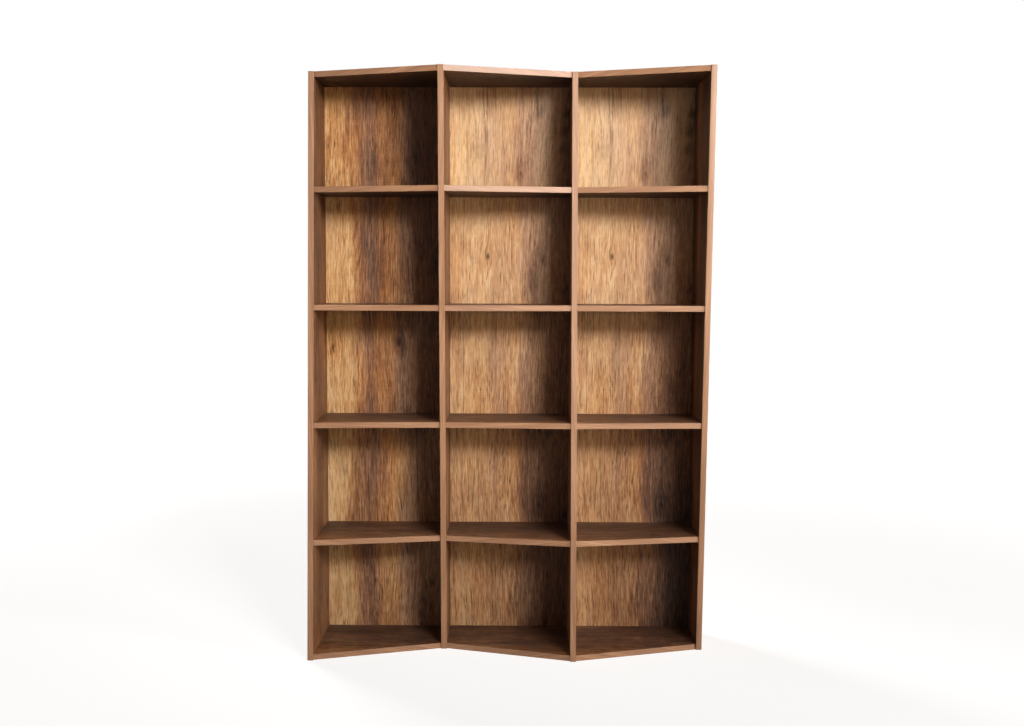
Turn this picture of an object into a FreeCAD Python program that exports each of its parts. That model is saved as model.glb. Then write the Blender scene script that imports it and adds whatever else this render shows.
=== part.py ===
import FreeCAD, Part
import os
import Sketcher

# Bookcase with a folded front: three bays of five open cells between four full-height uprights.
# +X points right when facing the front, +Y towards the wall and +Z up. The origin is on the floor,
# in the middle of the width and of the deepest depth.

UPRIGHTS = 4
BAYS = UPRIGHTS - 1
LEVELS = 6
INNER_CELLS = LEVELS - 3   # of a bay, without its lowest and its highest cell

UPRIGHT_NAMES = ("left_side_panel", "left_divider", "right_divider", "right_side_panel")
BAY_NAMES = ("left", "middle", "right")
LEVEL_NAMES = ("bottom_board", "shelf_1", "shelf_2", "shelf_3", "shelf_4", "top_board")

# Driving sizes in millimetres.
SIZES = {
    "overall_width": 1260,         # across both side panels
    "overall_height": 1848,        # floor to top
    "deep_depth": 320,             # an upright at its deep end
    "shallow_depth": 200,          # an upright at its shallow end
    "end_cell_height": 342,        # clear height of the lowest and the highest cells
    "board_thickness": 18,         # every upright, shelf, top and bottom
    "board_setback": 5,            # front of an upright to the front of the boards beside it
    "band_thickness": 1,           # edge band, measured front to back
    "back_thickness": 3,           # printed back panel
    "back_setback": 8,             # rear edges to the rear face of a back panel
    "groove_web": 6,               # left of a divider between its two grooves
    "groove_clearance": 0.2,       # round a back panel
    "front_fixing_distance": 45,   # front edge of an upright to its front row of bolts
    "rear_fixing_distance": 42,    # rear edge of a shelf to its rear row of bolts
    "cam_diameter": 15,            # cam lock
    "cam_distance": 34,            # board end to the middle of a cam lock
    "cam_roof": 0.8,               # metal over the bolt head in a cam lock
    "cam_clearance": 0.1,          # cam lock in its bore
    "drive_length": 8,             # cross recess for the screwdriver
    "drive_width": 2,
    "drive_depth": 1.5,
    "bolt_diameter": 7,            # shank and head of a cam bolt
    "bolt_neck_diameter": 4.5,     # neck that the cam lock grips
    "bolt_neck_length": 6,
    "bolt_head_length": 4,
    "bolt_thread_diameter": 6,     # end that screws into a side panel
    "bolt_clearance": 0.2,         # bolt in its bore
    "panel_skin": 7,               # left of a side panel behind its blind holes
    "dowel_diameter": 8,
    "dowel_depth": 20,             # dowel in a board end
    "dowel_chamfer": 1,
    "dowel_clearance": 0.1,        # dowel in its bore
    "bore_end_gap": 0.5,           # between the end of a bolt or dowel and the end of its bore
}

doc = FreeCAD.newDocument("FoldedFrontBookcase")
sheet = doc.addObject("Spreadsheet::Sheet", "Sizes")
for row, (alias, length) in enumerate(SIZES.items(), start=1):
    sheet.set(f"A{row}", alias)
    sheet.set(f"B{row}", str(length))
    sheet.setAlias(f"B{row}", alias)
doc.recompute()

# Places worked out from the sizes, as expressions.
THICK = "Sizes.board_thickness"
HEIGHT = "Sizes.overall_height"
BAND = "Sizes.band_thickness"
REAR = "(Sizes.deep_depth / 2)"
CLEAR_WIDTH = f"((Sizes.overall_width - {UPRIGHTS} * {THICK}) / {BAYS})"
PITCH = f"({CLEAR_WIDTH} + {THICK})"
END_RISE = f"(Sizes.end_cell_height + {THICK})"
INNER_RISE = f"(({HEIGHT} - {THICK} - 2 * {END_RISE}) / {INNER_CELLS})"
BACK_REAR = f"({REAR} - Sizes.back_setback)"
BACK_FRONT = f"({BACK_REAR} - Sizes.back_thickness)"
GROOVE_REAR = f"({BACK_REAR} + Sizes.groove_clearance)"
GROOVE_FRONT = f"({BACK_FRONT} - Sizes.groove_clearance)"
GROOVE_DEPTH = f"(({THICK} - Sizes.groove_web) / 2)"
REAR_FIXING = f"({GROOVE_FRONT} - Sizes.rear_fixing_distance)"
BLIND_DEPTH = f"({THICK} - Sizes.panel_skin)"
BLIND_LENGTH = f"({BLIND_DEPTH} - Sizes.bore_end_gap)"
CAM_HEIGHT = f"({THICK} / 2 + Sizes.bolt_diameter / 2 + Sizes.cam_roof)"
BOLT_BORE = "(Sizes.bolt_diameter + 2 * Sizes.bolt_clearance)"
THREAD_BORE = "(Sizes.bolt_thread_diameter + 2 * Sizes.bolt_clearance)"
DOWEL_BORE = "(Sizes.dowel_diameter + 2 * Sizes.dowel_clearance)"
CAM_BORE = "(Sizes.cam_diameter + 2 * Sizes.cam_clearance)"


def upright_left(upright):
    """X of an upright's left face."""
    return f"({upright} * {PITCH} - Sizes.overall_width / 2)"


def bay_middle(bay):
    """X of the middle of a bay."""
    return f"({upright_left(bay)} + {THICK} + {CLEAR_WIDTH} / 2)"


def level_floor(level):
    """Z of the underside of the boards of a level."""
    if level == 0:
        return "0"
    if level == LEVELS - 1:
        return f"({HEIGHT} - {THICK})"
    return f"({END_RISE} + {level - 1} * {INNER_RISE})"


def level_middle(level):
    """Z of the middle of the boards of a level."""
    return f"({level_floor(level)} + {THICK} / 2)"


def front_edge(upright, height):
    """Y of an upright's front edge: even uprights are deep at the floor, odd ones at the top."""
    ends = ("Sizes.deep_depth", "Sizes.shallow_depth")
    floor_depth, top_depth = ends if upright % 2 == 0 else reversed(ends)
    return f"({REAR} - {floor_depth} - ({top_depth} - {floor_depth}) * {height} / {HEIGHT})"


def front_fixing(upright, level):
    """Y of an upright's front bolt at a level."""
    return f"({front_edge(upright, level_middle(level))} + Sizes.front_fixing_distance)"


def dowel_fixing(upright, level):
    """Y of an upright's dowel at a level, halfway between its two bolts."""
    return f"(({front_fixing(upright, level)} + {REAR_FIXING}) / 2)"


def value_of(expression):
    return float(sheet.evalExpression(expression))


def new_body(label):
    body = doc.addObject("PartDesign::Body", label)
    body.Label = label
    return body


def place(piece, x, y, z):
    """Bind a piece's place to three expressions."""
    piece.setExpression("Placement.Base.x", x)
    piece.setExpression("Placement.Base.y", y)
    piece.setExpression("Placement.Base.z", z)


def new_sketch(body, name, plane_role, offset="0"):
    """Sketch on one of the body's own planes, moved along that plane's normal."""
    plane = next(feature for feature in body.Origin.OriginFeatures if feature.Role == plane_role)
    sketch = body.newObject("Sketcher::SketchObject", f"{body.Name}_{name}")
    sketch.AttachmentSupport = [(plane, "")]
    sketch.MapMode = "FlatFace"
    sketch.setExpression("AttachmentOffset.Base.z", offset)
    return sketch


def bind_point(sketch, geometry, point, x, y):
    """Tie a point to two expressions, measured from the sketch's origin."""
    for direction, place_expression in (("DistanceX", x), ("DistanceY", y)):
        datum = Sketcher.Constraint(direction, -1, 1, geometry, point, value_of(place_expression))
        index = sketch.addConstraint(datum)
        sketch.setExpression(f"Constraints[{index}]", place_expression)


def add_outline(sketch, corners):
    """Closed outline of straight lines through corners given as expressions."""
    points = [FreeCAD.Vector(value_of(x), value_of(y), 0) for x, y in corners]
    count = len(points)
    for corner in range(count):
        sketch.addGeometry(Part.LineSegment(points[corner], points[(corner + 1) % count]), False)
    for corner in range(count):
        sketch.addConstraint(Sketcher.Constraint("Coincident", corner, 2, (corner + 1) % count, 1))
    for corner, (x, y) in enumerate(corners):
        bind_point(sketch, corner, 1, x, y)


def add_circle(sketch, x, y, diameter):
    """Circle whose centre and diameter are expressions."""
    centre = FreeCAD.Vector(value_of(x), value_of(y), 0)
    circle = Part.Circle(centre, FreeCAD.Vector(0, 0, 1), value_of(diameter) / 2)
    index = sketch.addGeometry(circle, False)
    bind_point(sketch, index, 3, x, y)
    datum = sketch.addConstraint(Sketcher.Constraint("Diameter", index, value_of(diameter)))
    sketch.setExpression(f"Constraints[{datum}]", diameter)


def rectangle(x_low, x_high, y_low, y_high):
    return [(x_low, y_low), (x_high, y_low), (x_high, y_high), (x_low, y_high)]


def pad(body, sketch, length):
    feature = body.newObject("PartDesign::Pad", f"{sketch.Name}_pad")
    feature.Profile = sketch
    feature.setExpression("Length", length)


def pocket(body, sketch, depth, along_normal):
    """Cut from the sketch into the body, along the sketch's normal or against it."""
    feature = body.newObject("PartDesign::Pocket", f"{sketch.Name}_pocket")
    feature.Profile = sketch
    feature.setExpression("Length", depth)
    feature.Reversed = along_normal


def revolve(body, sketch):
    """Full turn about the sketch's horizontal axis."""
    feature = body.newObject("PartDesign::Revolution", f"{sketch.Name}_turned")
    feature.Profile = sketch
    feature.ReferenceAxis = (sketch, ["H_Axis"])
    feature.Angle = 360


def make_upright(upright):
    """Full-height board cut to a slanted front, drilled for its fittings and grooved for the backs."""
    body = new_body(UPRIGHT_NAMES[upright])
    front_floor = f"({front_edge(upright, '0')} + {BAND})"
    front_top = f"({front_edge(upright, HEIGHT)} + {BAND})"
    outline = new_sketch(body, "outline", "YZ_Plane")
    add_outline(outline, [(front_floor, "0"), (REAR, "0"), (REAR, HEIGHT), (front_top, HEIGHT)])
    pad(body, outline, THICK)

    has_left_bay = upright > 0
    has_right_bay = upright < UPRIGHTS - 1
    is_divider = has_left_bay and has_right_bay

    # A side panel is drilled blind from its inner face, a divider right through.
    drill_face = THICK if has_right_bay else "0"
    drill_depth = THICK if is_divider else BLIND_DEPTH
    bolt_holes = new_sketch(body, "bolt_holes", "YZ_Plane", drill_face)
    dowel_holes = new_sketch(body, "dowel_holes", "YZ_Plane", drill_face)
    for level in range(LEVELS):
        middle = level_middle(level)
        for y in (front_fixing(upright, level), REAR_FIXING):
            add_circle(bolt_holes, y, middle, BOLT_BORE if is_divider else THREAD_BORE)
        add_circle(dowel_holes, dowel_fixing(upright, level), middle, DOWEL_BORE)
    pocket(body, bolt_holes, drill_depth, not has_right_bay)
    pocket(body, dowel_holes, drill_depth, not has_right_bay)

    for is_inner, face, along_normal in ((has_left_bay, "0", True), (has_right_bay, THICK, False)):
        if is_inner:
            groove = new_sketch(body, "groove", "YZ_Plane", face)
            add_outline(groove, rectangle(GROOVE_FRONT, GROOVE_REAR, "0", HEIGHT))
            pocket(body, groove, GROOVE_DEPTH, along_normal)
    place(body, upright_left(upright), "0", "0")
    return body


def make_upright_band(upright):
    """Strip on the slanted front edge of an upright, as long as the upright is high."""
    body = new_body(f"{UPRIGHT_NAMES[upright]}_band")
    floor_edge = front_edge(upright, "0")
    top_edge = front_edge(upright, HEIGHT)
    outline = new_sketch(body, "outline", "YZ_Plane")
    add_outline(outline, [
        (floor_edge, "0"),
        (f"({floor_edge} + {BAND})", "0"),
        (f"({top_edge} + {BAND})", HEIGHT),
        (top_edge, HEIGHT),
    ])
    pad(body, outline, THICK)
    place(body, upright_left(upright), "0", "0")
    return body


def board_fronts(bay, level):
    """Y of a board's front corners, set back from the two uprights' fronts at the board's height."""
    middle = level_middle(level)
    return tuple(f"({front_edge(upright, middle)} + Sizes.board_setback)" for upright in (bay, bay + 1))


def make_board(bay, level):
    """Bottom, shelf or top: a board whose straight front lies just behind those of its two uprights."""
    body = new_body(f"{BAY_NAMES[bay]}_{LEVEL_NAMES[level]}")
    is_outer_level = level in (0, LEVELS - 1)
    left_end = f"(-{CLEAR_WIDTH} / 2)"
    right_end = f"({CLEAR_WIDTH} / 2)"
    left_front, right_front = board_fronts(bay, level)
    # Shelves stop in front of the back panel, the bottom and the top pass over its edge.
    rear = REAR if is_outer_level else GROOVE_FRONT
    outline = new_sketch(body, "outline", "XY_Plane")
    add_outline(outline, [
        (left_end, f"({left_front} + {BAND})"),
        (right_end, f"({right_front} + {BAND})"),
        (right_end, rear),
        (left_end, rear),
    ])
    pad(body, outline, THICK)

    cam_bores = new_sketch(body, "cam_bores", "XY_Plane")
    for upright, cam_x in (
        (bay, f"({left_end} + Sizes.cam_distance)"),
        (bay + 1, f"({right_end} - Sizes.cam_distance)"),
    ):
        for y in (front_fixing(upright, level), REAR_FIXING):
            add_circle(cam_bores, cam_x, y, CAM_BORE)
    pocket(body, cam_bores, f"({CAM_HEIGHT} + Sizes.cam_clearance)", True)

    for upright, end, along_normal in ((bay, left_end, True), (bay + 1, right_end, False)):
        bolt_bores = new_sketch(body, "bolt_bores", "YZ_Plane", end)
        for y in (front_fixing(upright, level), REAR_FIXING):
            add_circle(bolt_bores, y, f"({THICK} / 2)", BOLT_BORE)
        pocket(body, bolt_bores, "Sizes.cam_distance", along_normal)
        dowel_bore = new_sketch(body, "dowel_bore", "YZ_Plane", end)
        add_circle(dowel_bore, dowel_fixing(upright, level), f"({THICK} / 2)", DOWEL_BORE)
        pocket(body, dowel_bore, "(Sizes.dowel_depth + Sizes.bore_end_gap)", along_normal)

    if is_outer_level:
        is_bottom = level == 0
        groove = new_sketch(body, "groove", "XY_Plane", THICK if is_bottom else "0")
        add_outline(groove, rectangle(left_end, right_end, GROOVE_FRONT, GROOVE_REAR))
        pocket(body, groove, GROOVE_DEPTH, not is_bottom)
    place(body, bay_middle(bay), "0", level_floor(level))
    return body


def make_board_band(bay, level):
    """Strip on the front edge of a board."""
    body = new_body(f"{BAY_NAMES[bay]}_{LEVEL_NAMES[level]}_band")
    left_front, right_front = board_fronts(bay, level)
    left_end = f"(-{CLEAR_WIDTH} / 2)"
    right_end = f"({CLEAR_WIDTH} / 2)"
    outline = new_sketch(body, "outline", "XY_Plane")
    add_outline(outline, [
        (left_end, left_front),
        (right_end, right_front),
        (right_end, f"({right_front} + {BAND})"),
        (left_end, f"({left_front} + {BAND})"),
    ])
    pad(body, outline, THICK)
    place(body, bay_middle(bay), "0", level_floor(level))
    return body


def make_back_panel(bay):
    """Thin printed sheet held on all four edges by the grooves."""
    panel = doc.addObject("Part::Box", f"{BAY_NAMES[bay]}_back_panel")
    panel.Label = panel.Name
    hold = f"({GROOVE_DEPTH} - Sizes.groove_clearance)"
    width = f"({CLEAR_WIDTH} + 2 * {hold})"
    panel.setExpression("Length", width)
    panel.setExpression("Width", "Sizes.back_thickness")
    panel.setExpression("Height", f"({HEIGHT} - 2 * {THICK} + 2 * {hold})")
    place(panel, f"({bay_middle(bay)} - {width} / 2)", BACK_FRONT, f"({THICK} - {hold})")
    return panel


def make_cam_lock():
    """Round lock, flush with a board's underside, open towards the board's end for the bolt."""
    body = new_body("cam_lock_pattern")
    outline = new_sketch(body, "outline", "XY_Plane")
    add_circle(outline, "0", "0", "Sizes.cam_diameter")
    pad(body, outline, CAM_HEIGHT)
    head_room = "(Sizes.bolt_head_length / 2 + Sizes.bolt_clearance)"
    mouth = new_sketch(body, "mouth", "YZ_Plane", head_room)
    add_circle(mouth, "0", f"({THICK} / 2)", BOLT_BORE)
    pocket(body, mouth, f"({head_room} + Sizes.cam_diameter / 2)", False)
    long_arm = "(Sizes.drive_length / 2)"
    short_arm = "(Sizes.drive_width / 2)"
    quarter = [(long_arm, short_arm), (short_arm, short_arm), (short_arm, long_arm)]
    cross = quarter + [(f"(-{x})", y) for x, y in reversed(quarter)]
    cross += [(f"(-{x})", f"(-{y})") for x, y in quarter]
    cross += [(x, f"(-{y})") for x, y in reversed(quarter)]
    drive = new_sketch(body, "drive", "XY_Plane")
    add_outline(drive, cross)
    pocket(body, drive, "Sizes.drive_depth", True)
    return body


def bolt_end(start):
    """Profile of a bolt from its shank to the end of its head, along +X from a start."""
    head_start = f"({start} + Sizes.cam_distance - Sizes.bolt_head_length / 2)"
    head_end = f"({start} + Sizes.cam_distance + Sizes.bolt_head_length / 2)"
    neck_start = f"({head_start} - Sizes.bolt_neck_length)"
    wide = "(Sizes.bolt_diameter / 2)"
    narrow = "(Sizes.bolt_neck_diameter / 2)"
    return [
        (neck_start, wide), (neck_start, narrow), (head_start, narrow), (head_start, wide), (head_end, wide),
    ]


def make_side_bolt():
    """Cam bolt that screws into a side panel: X = 0 is the panel's inner face."""
    body = new_body("side_cam_bolt_pattern")
    wide = "(Sizes.bolt_diameter / 2)"
    thread = "(Sizes.bolt_thread_diameter / 2)"
    profile = [(f"(-{BLIND_LENGTH})", "0"), (f"(-{BLIND_LENGTH})", thread), ("0", thread), ("0", wide)]
    profile += bolt_end("0")
    profile += [(profile[-1][0], "0")]
    sketch = new_sketch(body, "profile", "XY_Plane")
    add_outline(sketch, profile)
    revolve(body, sketch)
    return body


def make_divider_bolt():
    """Cam bolt with a head at both ends: X = 0 is the middle of the divider."""
    body = new_body("divider_cam_bolt_pattern")
    right = bolt_end(f"({THICK} / 2)")
    left = [(f"(-{x})", radius) for x, radius in reversed(right)]
    profile = [(left[0][0], "0")] + left + right + [(right[-1][0], "0")]
    sketch = new_sketch(body, "profile", "XY_Plane")
    add_outline(sketch, profile)
    revolve(body, sketch)
    return body


def make_dowel(label, left_length, right_length):
    """Beech dowel with chamfered ends, reaching to both sides of X = 0."""
    body = new_body(label)
    chamfer = "Sizes.dowel_chamfer"
    radius = "(Sizes.dowel_diameter / 2)"
    sketch = new_sketch(body, "profile", "XY_Plane")
    add_outline(sketch, [
        (f"(-{left_length})", "0"),
        (f"(-{left_length})", f"({radius} - {chamfer})"),
        (f"({chamfer} - {left_length})", radius),
        (f"({right_length} - {chamfer})", radius),
        (right_length, f"({radius} - {chamfer})"),
        (right_length, "0"),
    ])
    revolve(body, sketch)
    return body


def make_group(label, pattern, places):
    """Like fittings as one group: each place is three expressions and a half turn or none about Z."""
    copies = []
    for x, y, z, is_turned in places:
        copy = doc.addObject("App::Link", f"{label}_copy")
        copy.LinkedObject = pattern
        turn = FreeCAD.Rotation(FreeCAD.Vector(0, 0, 1), 180 if is_turned else 0)
        copy.Placement = FreeCAD.Placement(FreeCAD.Vector(0, 0, 0), turn)
        place(copy, x, y, z)
        copies.append(copy)
    group = doc.addObject("Part::Compound", label)
    group.Label = label
    group.Links = copies
    return group


subparts = []
for upright in range(UPRIGHTS):
    subparts.append(make_upright(upright))
    subparts.append(make_upright_band(upright))
for bay in range(BAYS):
    for level in range(LEVELS):
        subparts.append(make_board(bay, level))
        subparts.append(make_board_band(bay, level))
    subparts.append(make_back_panel(bay))

cam_places = []
side_bolt_places = []
side_dowel_places = []
divider_bolt_places = []
divider_dowel_places = []
for level in range(LEVELS):
    middle = level_middle(level)
    for upright in range(UPRIGHTS):
        bolt_rows = (front_fixing(upright, level), REAR_FIXING)
        dowel_row = dowel_fixing(upright, level)
        if upright in (0, UPRIGHTS - 1):
            is_right = upright > 0
            inner_face = upright_left(upright) if is_right else f"({upright_left(upright)} + {THICK})"
            side_bolt_places += [(inner_face, y, middle, is_right) for y in bolt_rows]
            side_dowel_places.append((inner_face, dowel_row, middle, is_right))
        else:
            core = f"({upright_left(upright)} + {THICK} / 2)"
            divider_bolt_places += [(core, y, middle, False) for y in bolt_rows]
            divider_dowel_places.append((core, dowel_row, middle, False))
        cam_offset = f"({CLEAR_WIDTH} / 2 - Sizes.cam_distance)"
        if upright > 0:
            cam_x = f"({bay_middle(upright - 1)} + {cam_offset})"
            cam_places += [(cam_x, y, level_floor(level), True) for y in bolt_rows]
        if upright < UPRIGHTS - 1:
            cam_x = f"({bay_middle(upright)} - {cam_offset})"
            cam_places += [(cam_x, y, level_floor(level), False) for y in bolt_rows]

half_divider_dowel = f"({THICK} / 2 + Sizes.dowel_depth)"
side_dowel = make_dowel("side_dowel_pattern", BLIND_LENGTH, "Sizes.dowel_depth")
divider_dowel = make_dowel("divider_dowel_pattern", half_divider_dowel, half_divider_dowel)
subparts.append(make_group("cam_locks", make_cam_lock(), cam_places))
subparts.append(make_group("side_cam_bolts", make_side_bolt(), side_bolt_places))
subparts.append(make_group("divider_cam_bolts", make_divider_bolt(), divider_bolt_places))
subparts.append(make_group("side_dowels", side_dowel, side_dowel_places))
subparts.append(make_group("divider_dowels", divider_dowel, divider_dowel_places))
doc.recompute()

# Nothing is written unless every object is sound and every cut took material away.
for item in doc.Objects:
    if "Invalid" in item.State or "Error" in item.State:
        raise RuntimeError(f"{item.Label} failed: {item.State}")
    if item.TypeId == "PartDesign::Pocket" and item.Shape.Volume >= item.BaseFeature.Shape.Volume:
        raise RuntimeError(f"{item.Label} cuts nothing")
for subpart in subparts:
    if subpart.Shape.isNull() or not subpart.Shape.isValid():
        raise RuntimeError(f"{subpart.Label} has no sound shape")

os.makedirs("parts", exist_ok=True)
for subpart in subparts:
    subpart.Shape.exportStep(f"parts/{subpart.Label}.step")
print(f"{len(subparts)} nodes, {sum(len(subpart.Shape.Solids) for subpart in subparts)} solids")
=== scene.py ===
import math

import bmesh
import bpy
from mathutils import Matrix, Vector


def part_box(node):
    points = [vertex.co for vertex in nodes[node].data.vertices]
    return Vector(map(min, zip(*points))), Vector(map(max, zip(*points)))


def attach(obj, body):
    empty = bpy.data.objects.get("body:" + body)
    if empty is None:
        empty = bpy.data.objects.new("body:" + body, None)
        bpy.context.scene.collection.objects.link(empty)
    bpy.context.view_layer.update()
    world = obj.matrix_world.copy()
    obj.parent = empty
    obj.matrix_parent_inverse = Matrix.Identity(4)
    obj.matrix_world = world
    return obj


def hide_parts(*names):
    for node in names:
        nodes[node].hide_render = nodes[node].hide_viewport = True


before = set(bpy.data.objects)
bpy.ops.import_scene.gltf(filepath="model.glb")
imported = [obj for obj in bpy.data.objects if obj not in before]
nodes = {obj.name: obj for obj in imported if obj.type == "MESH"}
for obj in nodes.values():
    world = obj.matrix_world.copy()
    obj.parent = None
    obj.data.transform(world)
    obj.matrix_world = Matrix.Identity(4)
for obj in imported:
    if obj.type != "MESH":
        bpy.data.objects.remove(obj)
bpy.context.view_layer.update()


# The uprights: two side panels and two dividers, sawn from 18 mm chipboard that is faced on both sides
# with a rustic wood print. The grain runs up. The front edge is banded, the other edges show the chipboard.
X, Y, Z = 0, 1, 2
FRONT_TO_REAR = (-0.160, 0.160)

# the print at shares of the way from front to rear: share, tone, and hue from 0, golden, to 1, mauve
DIVIDER_TONES = (
    (0.00, 0.48, 0.2), (0.30, 0.38, 0.6), (0.55, 0.48, 0.3), (0.80, 0.38, 0.7), (1.00, 0.34, 0.5),
)
UPRIGHT_TONES = {
    "left_side_panel": (
        (0.00, 0.46, 0.2), (0.30, 0.44, 0.5), (0.48, 0.36, 0.7), (0.72, 0.44, 0.4), (1.00, 0.36, 0.6),
    ),
    "left_divider": DIVIDER_TONES,
    "right_divider": DIVIDER_TONES,
    "right_side_panel": (
        (0.00, 0.38, 0.6), (0.42, 0.40, 0.5), (0.55, 0.52, 0.2), (0.63, 0.68, 0.0), (0.72, 0.52, 0.2),
        (0.80, 0.40, 0.5), (1.00, 0.32, 0.6),
    ),
}

# painted shade: how much the print on the left face of each upright is toned down, and turned more mauve,
# against its right face, for the shade that falls on the faces that look left
UPRIGHT_PAINTED_SHADE = {
    "left_side_panel": 0.0, "left_divider": 0.04, "right_divider": 0.04, "right_side_panel": 0.12,
}
UPRIGHT_KNOTS = 0.6


def tint(red, green, blue):
    """A colour given as it looks on a screen, 0 to 255, in the linear values that shaders use."""
    parts = [c / 255.0 for c in (red, green, blue)]
    return tuple(c / 12.92 if c <= 0.04045 else ((c + 0.055) / 1.055) ** 2.4 for c in parts) + (1.0,)


def new_node(tree, kind, inputs=None, **settings):
    """One node of a tree, with its settings, and its inputs linked or set."""
    made = tree.nodes.new(kind)
    for name, value in settings.items():
        setattr(made, name, value)
    for key, value in (inputs or {}).items():
        if isinstance(value, bpy.types.NodeSocket):
            tree.links.new(value, made.inputs[key])
        else:
            made.inputs[key].default_value = value
    return made


def calc(tree, operation, *values, clamp=False):
    """A sum of one, two or three numbers or sockets."""
    made = new_node(
        tree, "ShaderNodeMath", dict(enumerate(values)), operation=operation, use_clamp=clamp,
    )
    return made.outputs[0]


def times(tree, first, *others):
    """The product of two or more numbers or sockets."""
    for other in others:
        first = calc(tree, "MULTIPLY", first, other)
    return first


def split(tree, vector):
    """The X, Y and Z of a vector."""
    return new_node(tree, "ShaderNodeSeparateXYZ", {0: vector}).outputs


def join(tree, x, y, z=0.0):
    """A vector from its X, Y and Z."""
    return new_node(tree, "ShaderNodeCombineXYZ", {0: x, 1: y, 2: z}).outputs[0]


def noise(tree, x, y, per_metre, detail=1.0, roughness=0.5):
    """Cloudy noise from 0 to 1 on a flat face, with so many clouds per metre across and along the grain."""
    made = new_node(
        tree, "ShaderNodeTexNoise",
        {"Vector": join(tree, times(tree, x, per_metre[0]), times(tree, y, per_metre[1])),
         "Scale": 1.0, "Detail": detail, "Roughness": roughness},
        noise_dimensions="2D",
    )
    return made.outputs[0]


def band_pass(tree, value, low, high):
    """0 below low, 1 above high and smooth between them."""
    made = new_node(
        tree, "ShaderNodeMapRange", {"Value": value, "From Min": low, "From Max": high},
        interpolation_type="SMOOTHSTEP",
    )
    return made.outputs[0]


def bell(tree, value, width):
    """1 where value is 0, falling to nothing a few widths away."""
    ratio = calc(tree, "DIVIDE", value, width)
    return calc(tree, "EXPONENT", times(tree, ratio, ratio, -1.0))


def around(tree, value, amount):
    """Noise turned into a shift of up to half the amount either way."""
    return times(tree, calc(tree, "SUBTRACT", value, 0.5), amount)


def choose(tree, mask, first, second):
    """The first number where the mask is 0, the second where it is 1."""
    return new_node(tree, "ShaderNodeMix", {0: mask, 2: first, 3: second}).outputs[0]


def mix(tree, mask, first, second, blend="MIX"):
    """The first colour where the mask is 0, the second, or its blend with the first, where it is 1."""
    made = new_node(
        tree, "ShaderNodeMix", {0: mask, 6: first, 7: second}, data_type="RGBA", blend_type=blend,
    )
    return made.outputs[2]


def ramp(tree, factor, stops):
    """A colour ramp through stops, each a place and a colour."""
    made = new_node(tree, "ShaderNodeValToRGB", {0: factor})
    elements = made.color_ramp.elements
    while len(elements) < len(stops):
        elements.new(1.0)
    for element, (place, colour) in zip(elements, stops):
        element.position = place
        element.color = colour
    return made.outputs[0]


def new_group(name, inputs, outputs):
    """An empty shader group with its named sockets, its way in and its way out."""
    tree = bpy.data.node_groups.new(name, "ShaderNodeTree")
    for label, kind, value in inputs:
        socket = tree.interface.new_socket(label, in_out="INPUT", socket_type=kind)
        if value is not None:
            socket.default_value = value
    for label, kind in outputs:
        tree.interface.new_socket(label, in_out="OUTPUT", socket_type=kind)
    return tree, tree.nodes.new("NodeGroupInput").outputs, tree.nodes.new("NodeGroupOutput").inputs


# the noises of the print: how many to the metre across and along the grain, their detail and roughness
PRINT_NOISES = {
    "slow wander": ((5.0, 1.7), 1.0, 0.5),
    "quick wander": ((26.0, 9.0), 1.0, 0.5),
    "check wander": ((0.0, 18.0), 2.0, 0.5),
    "clouds": ((9.0, 2.6), 3.0, 0.5),
    "streaks": ((64.0, 2.6), 3.0, 0.65),
    "figure": ((150.0, 8.0), 3.0, 0.65),
    "speckle": ((190.0, 36.0), 2.0, 0.6),
    "fibres": ((290.0, 16.0), 2.0, 0.65),
    "pores": ((270.0, 19.0), 2.0, 0.6),
    "pore patches": ((22.0, 4.5), 2.0, 0.5),
    "smoke": ((11.0, 4.2), 4.0, 0.65),
    "rings": ((34.0, 1.3), 2.0, 0.6),
    "ring lengths": ((14.0, 6.0), 2.0, 0.5),
    "cracks": ((17.0, 0.3), 1.0, 0.5),
    "crack lengths": ((9.0, 4.0), 2.0, 0.5),
    "saw marks": ((9.0, 260.0), 2.0, 0.5),
    "sawn patches": ((8.0, 3.0), 1.0, 0.5),
    "hue": ((14.0, 3.4), 2.0, 0.5),
}

# the part of a noise over which a mask rises, or over which a line along its middle value fades out
PRINT_RANGES = {
    "pores": (0.56, 0.66), "pore patches": (0.40, 0.66), "smoke": (0.52, 0.74),
    "rings": (0.006, 0.030), "ring lengths": (0.42, 0.60),
    "cracks": (0.004, 0.022), "crack lengths": (0.52, 0.62), "sawn patches": (0.40, 0.66),
}

# how far each noise moves the grain, in metres, the tone or the hue, and how much light each mark takes
PRINT_SHIFTS = {
    "slow wander": 0.045, "quick wander": 0.007, "check wander": 0.010, "hue": 0.9,
    "clouds": 0.34, "streaks": 0.36, "figure": 0.32, "speckle": 0.30, "fibres": 0.44, "saw marks": 0.10,
}
PRINT_MARKS = {"pores": 0.42, "rings": 0.26, "cracks": 0.50, "heart": 0.75}

# knots: cells to the metre, of which a share is empty, and half widths, across and along the grain. The
# grain bends round a knot's halo, and a drying check runs up from it. A panel's own knot rules its reach.
KNOT_CELLS = (2.9, 2.1)
KNOT_CELLS_EMPTY = 0.62
KNOT_HALO = (0.022, 0.045)
KNOT_HALO_TONE = 0.20
KNOT_HEART = (0.006, 0.011)
KNOT_BEND = 0.85
KNOT_REACH = (0.09, 0.22)
CHECK_SIZE = (0.0018, 0.065)
CHECK_ABOVE = 0.07
NO_KNOT = (-9.0, -9.0, 0.0)

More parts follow.
